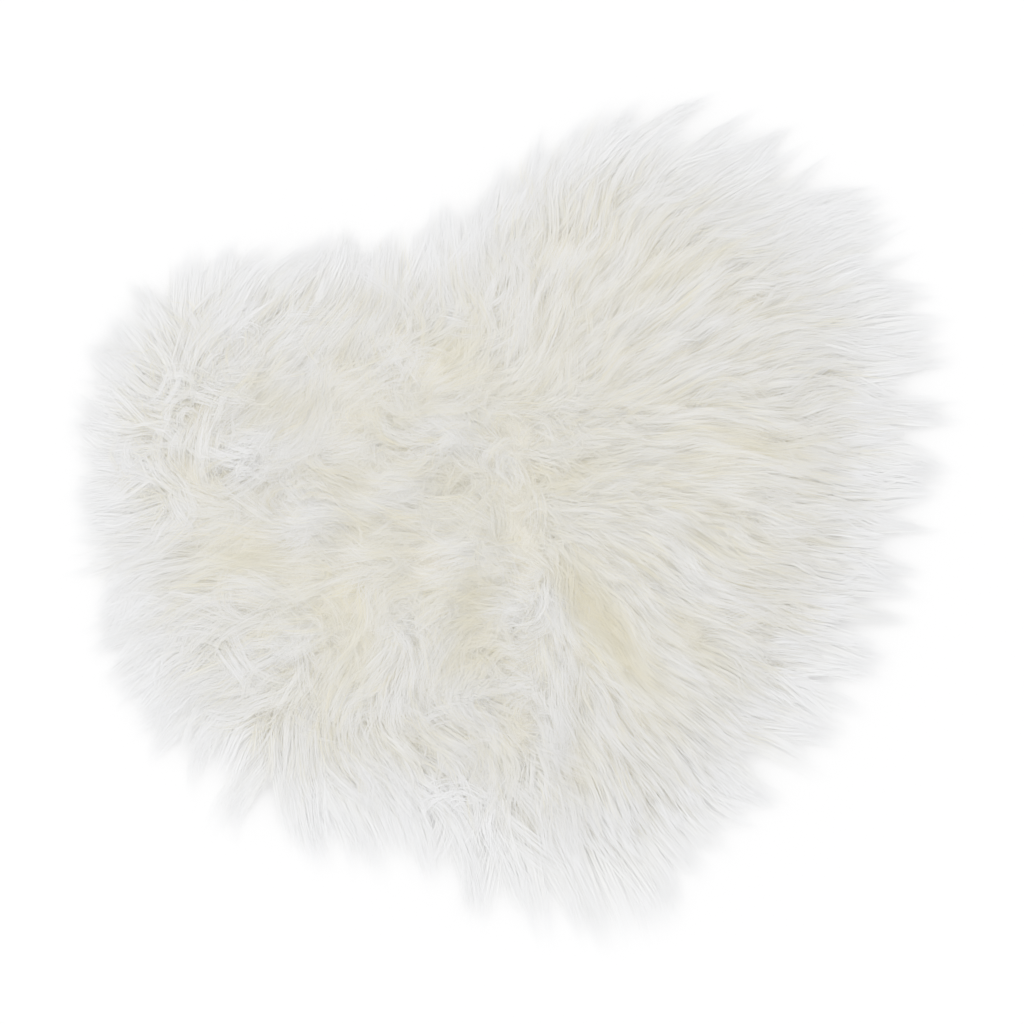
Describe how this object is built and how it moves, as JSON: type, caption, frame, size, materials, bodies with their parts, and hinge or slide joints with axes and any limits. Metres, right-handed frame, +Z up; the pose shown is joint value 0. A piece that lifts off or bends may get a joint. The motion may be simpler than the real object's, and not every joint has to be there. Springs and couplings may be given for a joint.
{
  "type": "heart-shaped shag rug",
  "caption": "Flat heart-shaped rug of long shaggy pile, one lobe larger than the other, with pointed locks of fur all round its rim.",
  "frame": {"origin": "centre of the rug's box, on the floor it lies on", "axes": "+Z up out of the pile, +Y from the heart's tip to its notch, +X towards the larger lobe"},
  "size_m": [0.5964, 0.5182, 0.0475],
  "materials": {
    "white_fur": "long off-white acrylic fur, soft and matt with a faint silky sheen, ivory at the roots"
  },
  "bodies": {
    "root": {"heart_rug": "white_fur"}
  },
  "joints": []
}
